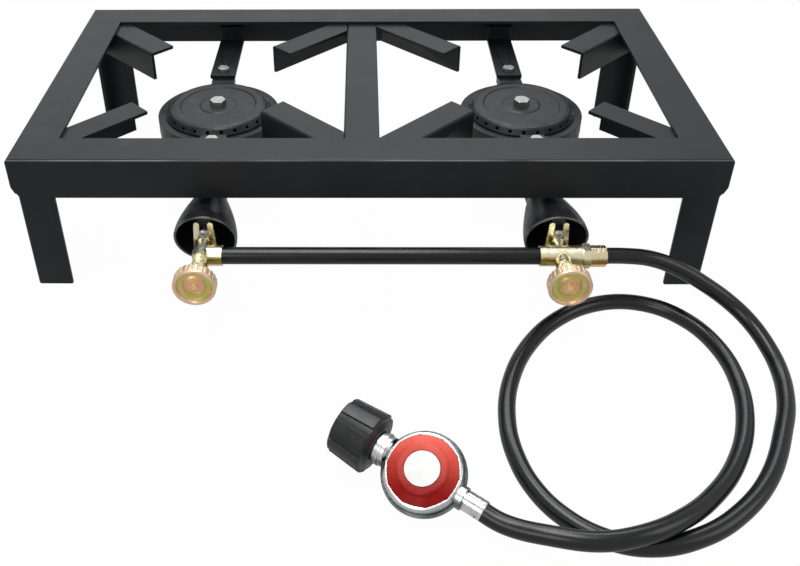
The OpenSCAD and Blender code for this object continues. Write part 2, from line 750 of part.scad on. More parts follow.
// Coil spring that loads the diaphragm: one wound wire from the plate to the bonnet's roof
module regulator_spring() {
    turns = 3;
    steps = 16;
    wire_r = 0.6;
    coil_r = 7;
    low = bonnet_base + 1 + wire_r + 0.1;
    high = bonnet_top - disc_t - bonnet_roof - wire_r - 0.1;
    count = turns * steps;
    points = [for (i = [0:count]) let (a = i * 360 / steps, t = i / count)
        [coil_r * cos(a), coil_r * sin(a), lerp(low, high, t)]];
    sides = 6;
    rings = [for (i = [0:count]) let (a = i * 360 / steps) for (k = [0:sides - 1])
        let (b = k * 360 / sides, out = coil_r + wire_r * cos(b))
        [out * cos(a), out * sin(a), points[i][2] + wire_r * sin(b)]];
    walls = [for (i = [0:count - 1]) for (k = [0:sides - 1])
        let (a = i * sides + k, b = i * sides + (k + 1) % sides)
            each [[a, b, a + sides], [b, b + sides, a + sides]]];
    caps = [[for (k = [sides - 1:-1:0]) k], [for (k = [0:sides - 1]) count * sides + k]];
    color("#8f9193") at_regulator() polyhedron(rings, concat(walls, caps));
}

module regulator_bonnet() {
    flange_r = reg_seat_r - rest_gap;
    dome_r = reg_seat_r - 1;
    under_lip = reg_lip_z - reg_lip_t - 0.2;
    shoulder = reg_lip_z + 0.4;
    color("#d83a34") at_regulator() difference() {
        rotate_extrude() polygon([[0, bonnet_base], [flange_r, bonnet_base], [flange_r, under_lip],
            [dome_r, under_lip], [dome_r, shoulder], [disc_r + 6.6, bonnet_top - 1.6],
            [disc_r + 5.4, bonnet_top - 0.4], [disc_r + 4.2, bonnet_top], [disc_r + 0.6, bonnet_top],
            [disc_r + 0.1, bonnet_top - disc_t], [0, bonnet_top - disc_t]]);
        translate([0, 0, bonnet_base - 1])
            cylinder(h = bonnet_top - disc_t - bonnet_roof - bonnet_base + 1, r = disc_r);
    }
}

module bonnet_disc() {
    color("white") at_regulator() translate([0, 0, bonnet_top - disc_t])
        cylinder(h = disc_t - 0.1, r = disc_r);
}

// Local frame of the inlet: Z runs from the regulator to the tank
module at_inlet() {
    at_regulator() rotate([0, -90, 0]) children();
}

// Tapered body of the tank nut with chamfered ends, shorter by inset and slimmer by depth
module nut_cone(inset, depth) {
    end_r = nut_r - 1.8;
    low = nut_back + nut_hub_len + inset;
    high = nut_back + nut_len - inset;
    edge = 0.8;
    rotate_extrude() polygon([[0, low], [nut_r - depth - edge, low], [nut_r - depth, low + edge],
        [end_r - depth, high - edge], [end_r - depth - edge, high], [0, high]]);
}

module tank_nut() {
    groove = 1.5;
    mouth = nut_back + nut_len;
    color("#242628") at_inlet() difference() {
        union() {
            translate([0, 0, nut_back]) cylinder(h = nut_hub_len + eps, r1 = nut_hub_r, r2 = nut_r - 4);
            nut_cone(0, groove);
            intersection() {
                nut_cone(0.5, 0);
                for (i = [0:nut_ribs - 1]) rotate([0, 0, (i + 0.5) * 360 / nut_ribs])
                    translate([0, -nut_r * 0.22, nut_back]) cube([nut_r + 1, nut_r * 0.44, nut_len]);
            }
        }
        translate([0, 0, nut_back + nut_web]) cylinder(h = nut_len, r = nut_bore_r);
        translate([0, 0, mouth - 2]) cylinder(h = 2 + eps, r1 = nut_bore_r, r2 = nut_bore_r + 1.2);
        translate([0, 0, nut_back - 1]) cylinder(h = nut_len, r = nipple_neck_r + run_gap);
    }
}

module inlet_nipple() {
    collar = nut_back + nut_web + rest_gap;
    tip = nut_back + nut_len - 8;
    stub = 8;
    color("#c6b469") at_inlet() difference() {
        union() {
            translate([0, 0, reg_inlet - stub]) cylinder(h = stub + 1, r = 5);
            translate([0, 0, reg_inlet]) cylinder(h = collar - reg_inlet + eps, r = nipple_neck_r);
            translate([0, 0, collar]) cylinder(h = 3, r = nipple_neck_r + 2);
            translate([0, 0, collar + 3 - eps]) cylinder(h = tip - collar - 3, r = 5.5);
            translate([0, 0, tip - 2 * eps]) cylinder(h = 3, r1 = 5.5, r2 = 3.5);
        }
        translate([0, 0, tip - 4]) difference() {
            cylinder(h = 3, r = 8);
            translate([0, 0, -1]) cylinder(h = 5, r = 4.4);
        }
        translate([0, 0, reg_inlet - stub - 1]) cylinder(h = 2 * nut_len, r = 2.2);
    }
}

module nipple_seal() {
    tip = nut_back + nut_len - 8;
    color("#3a3a3c") at_inlet() translate([0, 0, tip - 4 + 0.1]) difference() {
        cylinder(h = 2.8, r = 6);
        translate([0, 0, -1]) cylinder(h = 5, r = 4.4 + run_gap);
    }
}

frame_rail([0, front_y], 0, frame_w);  // front_rail
frame_rail([0, back_y], 180, frame_w);  // rear_rail
frame_rail([-frame_w / 2, mid_y], -90, frame_d);  // left_rail
frame_rail([frame_w / 2, mid_y], 90, frame_d);  // right_rail
centre_bar();
leg(LEFT, FRONT);  // front_left_leg
leg(RIGHT, FRONT);  // front_right_leg
leg(LEFT, REAR);  // rear_left_leg
leg(RIGHT, REAR);  // rear_right_leg
finger(LEFT, REAR, false);  // left_finger_rear_outer
finger(LEFT, REAR, true);  // left_finger_rear_inner
finger(LEFT, FRONT, true);  // left_finger_front_inner
finger(LEFT, FRONT, false);  // left_finger_front_outer
finger(RIGHT, REAR, false);  // right_finger_rear_outer
finger(RIGHT, REAR, true);  // right_finger_rear_inner
finger(RIGHT, FRONT, true);  // right_finger_front_inner
finger(RIGHT, FRONT, false);  // right_finger_front_outer
bracket(LEFT, REAR);  // left_rear_bracket
bracket(LEFT, FRONT);  // left_front_bracket
bracket(RIGHT, REAR);  // right_rear_bracket
bracket(RIGHT, FRONT);  // right_front_bracket
burner(LEFT);  // left_burner
burner(RIGHT);  // right_burner
burner_cap(LEFT);  // left_burner_cap
burner_cap(RIGHT);  // right_burner_cap
cap_bolts();
bracket_bolts();
bracket_nuts();
valve_body(LEFT);  // left_valve_body
valve_body(RIGHT);  // right_valve_body
orifice(LEFT);  // left_orifice
orifice(RIGHT);  // right_orifice
stem(LEFT);  // left_stem
stem(RIGHT);  // right_stem
packing_nut(LEFT);  // left_packing_nut
packing_nut(RIGHT);  // right_packing_nut
packing(LEFT);  // left_packing
packing(RIGHT);  // right_packing
knob(LEFT);  // left_knob
knob(RIGHT);  // right_knob
knob_screw(LEFT);  // left_knob_screw
knob_screw(RIGHT);  // right_knob_screw
fork_screws();
manifold_pipe();
hose_fitting();
valve_ferrule();
hose();
regulator_ferrule();
regulator_body();
regulator_diaphragm();
regulator_spring();
regulator_bonnet();
bonnet_disc();
tank_nut();
inlet_nipple();
nipple_seal();
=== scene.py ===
"""Two-burner propane stand: looks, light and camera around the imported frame. Metres, row frame."""
import json
import math
import random

import bmesh
import bpy
from mathutils import Matrix, Vector


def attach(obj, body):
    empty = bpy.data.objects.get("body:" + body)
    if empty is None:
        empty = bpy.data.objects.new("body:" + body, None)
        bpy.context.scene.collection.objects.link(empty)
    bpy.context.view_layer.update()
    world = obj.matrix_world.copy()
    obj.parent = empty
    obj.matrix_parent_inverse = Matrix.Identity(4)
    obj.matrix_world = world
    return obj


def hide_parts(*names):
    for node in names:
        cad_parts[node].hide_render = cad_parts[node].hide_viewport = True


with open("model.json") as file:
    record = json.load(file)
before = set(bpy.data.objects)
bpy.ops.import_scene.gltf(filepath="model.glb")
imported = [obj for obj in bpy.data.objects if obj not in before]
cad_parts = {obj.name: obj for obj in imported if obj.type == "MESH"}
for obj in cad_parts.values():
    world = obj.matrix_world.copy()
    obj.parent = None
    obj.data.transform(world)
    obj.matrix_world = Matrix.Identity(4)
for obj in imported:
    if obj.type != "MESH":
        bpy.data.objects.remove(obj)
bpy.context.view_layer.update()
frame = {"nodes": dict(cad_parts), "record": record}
nodes = frame["nodes"]
MM = 0.001


def mm(*v):
    return Vector([c * MM for c in v])


def link(name, data):
    obj = bpy.data.objects.new(name, data)
    bpy.context.scene.collection.objects.link(obj)
    return obj


# ---------------------------------------------------------------- camera
# Fitted to the corners of the frame in the photo
PHOTO_W, PHOTO_H = 800, 566
FOCAL_PX, CENTRE_PX = 942.31, (349.76, 209.21)
PITCH, YAW, ROLL = (math.radians(a) for a in (34.301, 0.875, -0.466))
CAMERA_AT = mm(-4.9, -753.5, 516.6)
SENSOR_MM = 36
cam = bpy.data.cameras.new("camera")
cam.sensor_width = SENSOR_MM
cam.lens = FOCAL_PX / PHOTO_W * SENSOR_MM
cam.shift_x = (PHOTO_W / 2 - CENTRE_PX[0]) / PHOTO_W
cam.shift_y = (CENTRE_PX[1] - PHOTO_H / 2) / PHOTO_W
cam.clip_start = 0.01
camera = link("camera", cam)
camera.matrix_world = (Matrix.Translation(CAMERA_AT) @ Matrix.Rotation(YAW, 4, "Z")
                       @ Matrix.Rotation(math.pi / 2 - PITCH, 4, "X") @ Matrix.Rotation(ROLL, 4, "Z"))
bpy.context.scene.camera = camera

# ---------------------------------------------------------------- tubes and pieces
HANDLE = 0.36     # handle of a cubic as a share of its span
UPRIGHT = 0.05    # a tube that starts steeper than this has no side of its own
look_of = {}      # names of the looks that the pieces take


def smooth_path(points, step, lowest=0.0):
    """Points in millimetres joined by smooth cubics, about every step millimetres, none below lowest."""
    points = [Vector(p) for p in points]
    last = len(points) - 1
    along = [(points[min(i + 1, last)] - points[max(i - 1, 0)]).normalized() for i in range(last + 1)]
    out = [points[0]]
    for i in range(last):
        a, b = points[i], points[i + 1]
        reach = (b - a).length * HANDLE
        c, d = a + along[i] * reach, b - along[i + 1] * reach
        count = max(2, round((b - a).length / step))
        for k in range(1, count + 1):
            t = k / count
            u = 1 - t
            out.append(a * u ** 3 + c * (3 * u * u * t) + d * (3 * u * t * t) + b * t ** 3)
    for p in out:
        p.z = max(p.z, lowest)
    return out


def sweep(mesh, path, radius, sides, cap=True):
    """Adds a round tube along path to a bmesh, with one radius for each point or one for all."""
    radii = radius if isinstance(radius, list) else [radius] * len(path)
    ahead = (path[1] - path[0]).normalized()
    side = ahead.cross(Vector((0, 0, 1)))
    side = side.normalized() if side.length > UPRIGHT else Vector((1, 0, 0))
    rings = []
    for i, p in enumerate(path):
        now = (path[min(i + 1, len(path) - 1)] - path[max(i - 1, 0)]).normalized()
        side = (side - now * side.dot(now)).normalized()
        up = now.cross(side)
        rings.append([mesh.verts.new((p + (side * math.cos(a) + up * math.sin(a)) * radii[i]) * MM)
                      for a in (2 * math.pi * k / sides for k in range(sides))])
    for low, high in zip(rings, rings[1:]):
        for k in range(sides):
            mesh.faces.new((low[k], low[(k + 1) % sides], high[(k + 1) % sides], high[k]))
    if cap:
        mesh.faces.new(list(reversed(rings[0])))
        mesh.faces.new(rings[-1])


def piece(name, mesh, slot, body="frame", replaces=(), look=None):
    """Turns a bmesh into a smooth-shaded piece of the object, with its slot's look or another one."""
    bmesh.ops.recalc_face_normals(mesh, faces=mesh.faces)
    data = bpy.data.meshes.new(name)
    mesh.to_mesh(data)
    mesh.free()
    data.polygons.foreach_set("use_smooth", [True] * len(data.polygons))
    obj = link(name, data)
    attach(obj, body)
    for node in replaces:
        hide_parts(node)
    look_of[obj.name] = look or slot
    return obj


# ---------------------------------------------------------------- hose
HOSE_R = 6.5
HOSE_STEP, HOSE_SIDES = 2.5, 24
CLEAR = 0.05      # of the hose above the floor
REG_AT = Vector((36.6, -336.4, 19.4))
REG_TURN = (Matrix.Rotation(math.radians(-35), 3, "Z") @ Matrix.Rotation(math.radians(5.6), 3, "Y")
            @ Matrix.Rotation(math.radians(24), 3, "X"))
REG_OUTLET = 32.5


def on_reg(x, y=0, z=0):
    """A point in millimetres on the regulator's own axes, in the row frame."""
    return REG_AT + REG_TURN @ Vector((x, y, z))


# Middle of the hose in millimetres: down from the tee, round the loop on the floor and over itself.
# A fitting script worked out most of these points from the hose's edges in the photo. They aren't
# the list chosen by hand in part.scad (hose_route), and lie up to 6.4 mm from it.
HOSE_ROUTE = [
    (176.1, -153, 62), (206, -153, 62), (227, -153, 59), (249, -154, 50), (271, -158, 37.5),
    (290, -165.5, 26), (303.6, -179, 17.5), (311.8, -199, 11), (314, -224, 7.4), (309, -252, 6.6),
    (298.4, -278.7, 6.6), (270.8, -326.9, 6.6), (236.8, -360.2, 6.6), (202.8, -377.7, 6.6),
    (172.8, -382, 6.6), (148, -375.5, 6.6), (128.3, -361.7, 6.6), (113, -341.8, 6.6),
    (103, -314.6, 6.6), (100, -279.9, 6.6), (107.2, -239, 6.6), (127, -197.3, 6.6),
    (158, -163.3, 6.6), (194.7, -145.1, 6.6), (230, -146, 6.6), (257.9, -164.6, 6.6),
    (274.8, -196.7, 6.6), (278.9, -237.1, 6.6), (270.1, -279.3, 6.6), (250.7, -317, 6.9),
    (224.2, -347.6, 10.1), (195.2, -371, 16.9), (168, -384.2, 20.4), (142.2, -388.3, 20.1),
    (115.7, -383.6, 18.3), tuple(on_reg(REG_OUTLET + 28)), tuple(on_reg(REG_OUTLET))]

hose_path = smooth_path(HOSE_ROUTE, HOSE_STEP, HOSE_R + CLEAR)
hose_mesh = bmesh.new()
sweep(hose_mesh, hose_path, HOSE_R, HOSE_SIDES)
hose = piece("hose_tube", hose_mesh, "hose_rubber", replaces=["hose"])

# ---------------------------------------------------------------- stage and light
def maths(tree, operation, *values):
    """A Math node whose inputs are numbers or sockets."""
    n = tree.nodes.new("ShaderNodeMath")
    n.operation = operation
    for socket, value in zip(n.inputs, values):
        if isinstance(value, (int, float)):
            socket.default_value = value
        else:
            tree.links.new(value, socket)
    return n.outputs[0]


def shown(tree, camera, gloss):
    """Share of the background's own look in a ray: one from the camera, one by way of gloss or glass."""
    path = tree.nodes.new("ShaderNodeLightPath")
    indirect = maths(tree, "MAXIMUM", path.outputs["Is Glossy Ray"], path.outputs["Is Transmission Ray"])
    seen = maths(tree, "MULTIPLY", path.outputs["Is Camera Ray"], camera)
    return maths(tree, "MAXIMUM", seen, maths(tree, "MULTIPLY", indirect, gloss))


def set_range(n, start, end, low, high):
    """Sets a Map Range node to take start...end to low...high."""
    for key, value in (("From Min", start), ("From Max", end), ("To Min", low), ("To Max", high)):
        n.inputs[key].default_value = value


def blended(tree, share, first, second):
    """A Mix Shader of two shaders, with share of the second."""
    n = tree.nodes.new("ShaderNodeMixShader")
    for socket, source in zip(n.inputs, (share, first, second)):
        tree.links.new(source, socket)
    return n.outputs[0]


AMBIENT = 0.34                              # strength of the world as a lamp
WORLD_SHOWN = {"camera": 1.0, "gloss": 0.36}
PAPER = 0.60                                # reflectance of the floor as a lamp's bounce
PAPER_SHOWN = {"camera": 0.0, "gloss": 0.92}
WHITE_SHOWN = {"camera": 0.98, "gloss": 0.0}
FLOOR_HALF = 6
DARKER_FROM, DARKER_TO = -0.17, -0.25       # y where the mirrored floor starts and ends to fall off
MIRRORED, MIRRORED_FRONT = 0.62, 0.55       # strength of the mirrored floor, behind and in front

world = bpy.data.worlds.new("studio")
bpy.context.scene.world = world
world.use_nodes = True
wt = world.node_tree
ambient = wt.nodes["Background"]
ambient.inputs["Color"].default_value = (1, 1, 1, 1)
ambient.inputs["Strength"].default_value = AMBIENT
backdrop = wt.nodes.new("ShaderNodeBackground")
backdrop.inputs["Color"].default_value = (1, 1, 1, 1)
backdrop.inputs["Strength"].default_value = 1.0
sky = blended(wt, shown(wt, **WORLD_SHOWN), ambient.outputs[0], backdrop.outputs[0])
wt.links.new(sky, wt.nodes["World Output"].inputs["Surface"])


def area_light(name, at, to, size, watts, colour=(1, 1, 1)):
    """A rectangular lamp at one point in metres, facing another."""
    data = bpy.data.lights.new(name, "AREA")
    data.shape = "RECTANGLE"
    data.size, data.size_y = size
    data.energy = watts
    data.color = colour
    obj = link(name, data)
    obj.visible_camera = False
    obj.location = at
    obj.rotation_euler = (Vector(to) - Vector(at)).to_track_quat("-Z", "Y").to_euler()


area_light("overhead_softbox", (-0.1, 0.0, 1.4), (0, 0, 0.1), (1.1, 0.6), 12)
area_light("rear_softbox", (-0.45, 1.7, 1.12), (-0.05, 0.1, 0.1), (2.4, 1.0), 5.4, (0.93, 0.985, 1.0))
area_light("high_rear_softbox", (0.2, 0.8, 1.2), (0.15, -0.28, 0), (1.3, 0.3), 5.4, (0.96, 0.99, 1.0))
area_light("front_softbox", (-0.75, -1.5, 1.1), (0.05, -0.15, 0.05), (0.9, 0.9), 6)
area_light("side_softbox", (1.4, -0.6, 0.9), (0.05, -0.1, 0.05), (0.8, 0.8), 3)

floor_mesh = bpy.data.meshes.new("floor")
corners = [(x * FLOOR_HALF, y * FLOOR_HALF, 0) for x, y in ((-1, -1), (1, -1), (1, 1), (-1, 1))]
floor_mesh.from_pydata(corners, [], [(0, 1, 2, 3)])
floor = link("floor", floor_mesh)
floor_mat = bpy.data.materials.new("floor_white")
floor_mat.use_nodes = True
ft = floor_mat.node_tree
ft.nodes.clear()
white = ft.nodes.new("ShaderNodeEmission")
white.inputs["Strength"].default_value = 1.0
paper = ft.nodes.new("ShaderNodeBsdfDiffuse")
paper.inputs["Color"].default_value = (PAPER, PAPER, PAPER, 1)
# In reflections the floor is a little darker in front of the stand
place = ft.nodes.new("ShaderNodeTexCoord")
depth = ft.nodes.new("ShaderNodeSeparateXYZ")
ft.links.new(place.outputs["Object"], depth.inputs[0])
falloff = ft.nodes.new("ShaderNodeMapRange")
set_range(falloff, DARKER_TO, DARKER_FROM, MIRRORED_FRONT, MIRRORED)
ft.links.new(depth.outputs[1], falloff.inputs["Value"])
mirrored = ft.nodes.new("ShaderNodeEmission")
ft.links.new(falloff.outputs[0], mirrored.inputs["Strength"])
lower = blended(ft, shown(ft, **PAPER_SHOWN), paper.outputs[0], mirrored.outputs[0])
surface = blended(ft, shown(ft, **WHITE_SHOWN), lower, white.outputs[0])
out = ft.nodes.new("ShaderNodeOutputMaterial")
ft.links.new(surface, out.inputs["Surface"])
floor_mesh.materials.append(floor_mat)


# ---------------------------------------------------------------- materials
class Look:
    """A Principled material whose colour, roughness and bump are built from noise in object space."""

    def __init__(self, name, colour, rough, metallic=0.0, specular=0.5, edge_mm=0.3):
        self.mat = bpy.data.materials.new(name)
        self.mat.use_nodes = True
        self.tree = self.mat.node_tree
        self.shader = self.tree.nodes["Principled BSDF"]
        self.put("Base Color", (*colour, 1))
        self.put("Roughness", rough)
        self.put("Metallic", metallic)
        self.put("Specular IOR Level", specular)
        self.where = self.node("ShaderNodeTexCoord").outputs["Object"]
        edge = self.node("ShaderNodeBevel", samples=4)
        edge.inputs["Radius"].default_value = edge_mm * MM
        self.normal = edge.outputs[0]

    def put(self, socket, value):
        self.shader.inputs[socket].default_value = value

    def node(self, kind, **settings):
        n = self.tree.nodes.new(kind)
        for key, value in settings.items():
            setattr(n, key, value)
        return n

    def wire(self, a, b):
        self.tree.links.new(a, b)

    def maths(self, operation, *values):
        return maths(self.tree, operation, *values)

    def axis(self, index):
        """Place along x, y or z, in metres."""
        n = self.node("ShaderNodeSeparateXYZ")
        self.wire(self.where, n.inputs[0])
        return n.outputs[index]

    def along(self, direction):
        """Place along a unit vector, in metres."""
        n = self.node("ShaderNodeVectorMath", operation="DOT_PRODUCT")
        self.wire(self.where, n.inputs[0])
        n.inputs[1].default_value = direction
        return n.outputs["Value"]

    def noise(self, scale, detail=4.0, rough=0.55, stretch=None, distort=0.0):
        n = self.node("ShaderNodeTexNoise")
        n.inputs["Scale"].default_value = scale
        n.inputs["Detail"].default_value = detail
        n.inputs["Roughness"].default_value = rough
        n.inputs["Distortion"].default_value = distort
        where = self.where
        if stretch:
            m = self.node("ShaderNodeMapping")
            m.inputs["Scale"].default_value = stretch
            self.wire(where, m.inputs["Vector"])
            where = m.outputs[0]
        self.wire(where, n.inputs["Vector"])
        return n.outputs["Fac"]

    def cells(self, scale):
        n = self.node("ShaderNodeTexVoronoi")
        n.inputs["Scale"].default_value = scale
        self.wire(self.where, n.inputs["Vector"])
        return n.outputs["Distance"]

    def ramp(self, fac, stops):
        n = self.node("ShaderNodeValToRGB")
        ramp = n.color_ramp
        while len(ramp.elements) < len(stops):
            ramp.elements.new(0.5)
        for e, (at, colour) in zip(ramp.elements, stops):
            e.position = at
            e.color = (*colour, 1) if isinstance(colour, tuple) else (colour, colour, colour, 1)
        self.wire(fac, n.inputs[0])
        return n.outputs[0]

    def span(self, fac, low, high, start=0.3, end=0.7):
        """Takes start...end of fac to low...high; start and end are made for noise."""
        n = self.node("ShaderNodeMapRange")
        set_range(n, start, end, low, high)
        self.wire(fac, n.inputs["Value"])
        return n.outputs[0]

    def mixed(self, fac, a, b):
        n = self.node("ShaderNodeMix", data_type="RGBA")
        self.wire(fac, n.inputs[0])
        for socket, value in ((n.inputs[6], a), (n.inputs[7], b)):
            if isinstance(value, tuple):
                socket.default_value = (*value, 1)
            else:
                self.wire(value, socket)
        return n.outputs[2]

    def colour(self, socket):
        self.wire(socket, self.shader.inputs["Base Color"])

    def roughness(self, socket):
        self.wire(socket, self.shader.inputs["Roughness"])

    def bump(self, height, strength, depth_mm):
        n = self.node("ShaderNodeBump")
        n.inputs["Strength"].default_value = strength
        n.inputs["Distance"].default_value = depth_mm * MM
        self.wire(height, n.inputs["Height"])
        self.wire(self.normal, n.inputs["Normal"])
        self.normal = n.outputs[0]
        self.wire(self.normal, self.shader.inputs["Normal"])


EDGE_HIGHLIGHT_Y = (-0.1143, -0.1138)    # the painted highlight strip fades out between these, in metres
EDGE_HIGHLIGHT_Z = (0.1266, 0.1270)


def painted_edge_highlight(look):
    """Mask of the frame's front top edge for a painted highlight: a light grey line, stronger in some
    places.
    """
    patches = look.span(look.noise(9, 3), 0.25, 1.0, 0.40, 0.60)
    in_front = look.maths("MULTIPLY", patches, look.span(look.axis(1), 1, 0, *EDGE_HIGHLIGHT_Y))
    return look.maths("MULTIPLY", in_front, look.span(look.axis(2), 0, 1, *EDGE_HIGHLIGHT_Z))


def frame_paint():
    """Satin black paint: a faint orange peel, soft patches of sheen, a little dust and a painted
    highlight along the front top edge.
    """
    look = Look("frame_steel", (0.010, 0.0115, 0.013), 0.36, specular=0.26)
    patches = look.ramp(look.noise(22, 4), [
        (0.25, (0.0084, 0.0100, 0.0114)), (0.55, (0.0112, 0.0133, 0.0148)),
        (0.85, (0.0155, 0.0174, 0.0190))])
    dust = look.ramp(look.noise(520, 2, 0.4), [(0.64, 0.0), (0.80, 0.35)])
    dusty = look.mixed(dust, patches, (0.035, 0.037, 0.038))
    # Painted highlight: a light grey line along the front top edge, where the rounded edge would catch
    # the light
    look.colour(look.mixed(painted_edge_highlight(look), dusty, (0.21, 0.225, 0.23)))
    look.roughness(look.span(look.noise(48, 5), 0.35, 0.43))
    look.bump(look.noise(420, 3, 0.5), 0.25, 0.05)
    look.bump(look.noise(38, 2), 0.12, 0.2)
    return look.mat


def cast_paint():
    """Sand-cast iron under black paint: pitted, with lumps and dull and glossy spots."""
    look = Look("burner_iron", (0.010, 0.011, 0.012), 0.42, specular=0.35, edge_mm=0.9)
    look.colour(look.ramp(look.noise(45, 5), [
        (0.3, (0.006, 0.007, 0.008)), (0.6, (0.012, 0.0135, 0.015)),
        (0.8, (0.022, 0.0235, 0.025))]))
    look.roughness(look.span(look.noise(90, 5), 0.26, 0.52))
    look.bump(look.noise(150, 3), 0.35, 0.5)
    look.bump(look.noise(330, 6, 0.65), 0.5, 0.3)
    look.bump(look.cells(520), 0.25, 0.12)
    return look.mat


def plated_steel(name, colour, rough):
    """Bright plating with faint clouds and a fine grain."""
    look = Look(name, colour, rough, metallic=1.0, edge_mm=0.35)
    tone = tuple(c * 0.7 for c in colour)
    look.colour(look.mixed(look.span(look.noise(140, 5), 0, 1), tone, colour))
    look.roughness(look.span(look.noise(300, 4), rough * 0.8, rough * 1.5))
    look.bump(look.noise(900, 3), 0.15, 0.03)
    return look.mat


BAND_SWAY = 1.0    # a painted reflection band on the brass wanders by this many millimetres


def brass(name, bands, dark, rough, grain):
    """Machined brass with painted reflections: bright and dark bands of colour by height in millimetres,
    with patches and turning marks.
    """
    look = Look(name, dark, rough, metallic=1.0, edge_mm=0.4)
    swayed = look.maths("MULTIPLY_ADD", look.noise(110, 3), BAND_SWAY * MM, look.axis(2))
    low, high = bands[0][0], bands[-1][0]
    mean = BAND_SWAY / 2
    height = look.span(swayed, 0, 1, (low + mean) * MM, (high + mean) * MM)
    # Painted reflections: bright and dark bands of colour by height, as the surroundings would mirror in
    # the brass
    painted_reflection = look.ramp(height, [((z - low) / (high - low), colour) for z, colour in bands])
    patch = look.span(look.noise(95, 4, 0.55), 0, 0.7 * grain, 0.46, 0.80)
    specks = look.ramp(look.noise(480, 3), [(0.64, 0.0), (0.76, 0.4 * grain)])
    look.colour(look.mixed(specks, look.mixed(patch, painted_reflection, dark), tuple(c * 0.7 for c in dark)))
    look.roughness(look.span(look.noise(240, 4), rough * 0.8, rough * 1.4))
    look.bump(look.noise(500, 3, stretch=(6, 1, 1)), 0.08 * grain, 0.03)
    look.bump(look.noise(90, 2), 0.10 * grain, 0.12)
    return look.mat


# Painted reflections by height in millimetres: bright above and below, with a dark band near the valves'
# axis
VALVE_REFLECTION_BANDS = [(54, (0.98, 0.89, 0.58)), (58, (0.98, 0.88, 0.54)), (59.8, (0.28, 0.20, 0.04)),
               (63.4, (0.40, 0.31, 0.09)), (65.6, (0.98, 0.92, 0.66)), (74, (0.98, 0.93, 0.70))]
FERRULE_REFLECTION_BANDS = [(54, (1.0, 0.76, 0.42)), (58.8, (1.0, 0.72, 0.36)), (60.4, (0.24, 0.11, 0.02)),
                 (63.4, (0.40, 0.22, 0.06)), (65.6, (0.99, 0.84, 0.56)), (72, (0.99, 0.85, 0.60))]
KNOB_X, KNOB_Z = (-133, 154), 62


def knob_radius(look):
    """Distance from the nearer knob's axis, in metres."""
    sides = [look.maths("ABSOLUTE", look.maths("SUBTRACT", look.axis(0), x * MM)) for x in KNOB_X]
    across = look.maths("MINIMUM", *sides)
    up = look.maths("SUBTRACT", look.axis(2), KNOB_Z * MM)
    squares = look.maths("ADD", look.maths("MULTIPLY", across, across), look.maths("MULTIPLY", up, up))
    return look.maths("SQRT", squares)


RINGS_FROM, RINGS_TO, RING_SWAY = 4, 24, 8    # radii in millimetres, and how far the rings wander


def chromate():
    """Yellow chromate on pressed steel: tan rim, orange and pink on the dome, and an olive band in the
    dish that is partly painted shade of the dish wall.
    """
    look = Look("knob_steel", (0.50, 0.34, 0.20), 0.34, metallic=0.7, edge_mm=0.9)
    wander = look.noise(130, 3, 0.5, distort=0.8)
    wandering = look.maths("MULTIPLY_ADD", wander, RING_SWAY * MM, knob_radius(look))
    # Colour rings by distance from the knob's axis: chromate tints, with the olive band in the dish
    # partly painted shade
    rings = look.ramp(look.span(wandering, 0, 1, RINGS_FROM * MM, RINGS_TO * MM), [
        (0.00, (0.95, 0.85, 0.48)), (0.12, (0.98, 0.58, 0.22)), (0.26, (0.94, 0.38, 0.24)),
        (0.38, (0.78, 0.52, 0.22)), (0.47, (0.55, 0.55, 0.08)), (0.60, (0.60, 0.57, 0.12)),
        (0.68, (0.84, 0.60, 0.42)), (0.90, (0.90, 0.68, 0.50))])
    film = look.ramp(look.noise(85, 3, 0.5, distort=1.0), [
        (0.30, (0.92, 0.42, 0.36)), (0.45, (0.92, 0.66, 0.42)), (0.58, (0.70, 0.66, 0.20)),
        (0.72, (0.58, 0.66, 0.42))])
    look.colour(look.mixed(look.span(look.noise(60, 2), 0.12, 0.5), rings, film))
    look.roughness(look.span(look.noise(300, 4), 0.24, 0.46))
    look.bump(look.noise(520, 4), 0.3, 0.06)
    return look.mat


def rubber(name, colour, low, high, specular=0.5):
    """Smooth dark rubber or gloss paint with roughness from low to high."""
    look = Look(name, colour, low, specular=specular)
    lighter = tuple(c * 1.6 for c in colour)
    look.colour(look.mixed(look.span(look.noise(70, 4), 0, 1), colour, lighter))
    look.roughness(look.span(look.noise(120, 3), low, high))
    look.bump(look.noise(600, 2), 0.12, 0.05)
    look.bump(look.noise(55, 2), 0.10, 0.3)
    return look.mat


RED_LIT_FROM, RED_LIT_TO = -16, 18         # millimetres from the regulator's middle, across the painted light and shade


def red_paint():
    """Red enamel with painted light and shade: paler red on the side toward the lamps, deeper red on the
    side away from them.
    """
    look = Look("bonnet_red", (0.52, 0.014, 0.011), 0.34, specular=0.16, edge_mm=0.5)
    lit_direction = Vector((0.25, 0.95, 0.18)).normalized()
    middle = lit_direction.dot(REG_AT * MM)
    side = look.span(look.along(lit_direction), 0, 1, middle + RED_LIT_FROM * MM, middle + RED_LIT_TO * MM)
    # Painted shade: deeper red on the side away from the lamps; painted light: paler red on the side
    # toward them
    painted_shade_red = look.mixed(look.span(look.noise(60, 4), 0, 1), (0.26, 0.004, 0.003), (0.36, 0.008, 0.006))
    painted_lit_red = look.mixed(look.span(look.noise(60, 4), 0, 1), (0.76, 0.085, 0.062), (0.88, 0.14, 0.105))
    look.colour(look.mixed(side, painted_shade_red, painted_lit_red))
    look.roughness(look.span(look.noise(200, 3), 0.24, 0.36))
    look.bump(look.noise(420, 3), 0.20, 0.08)
    return look.mat


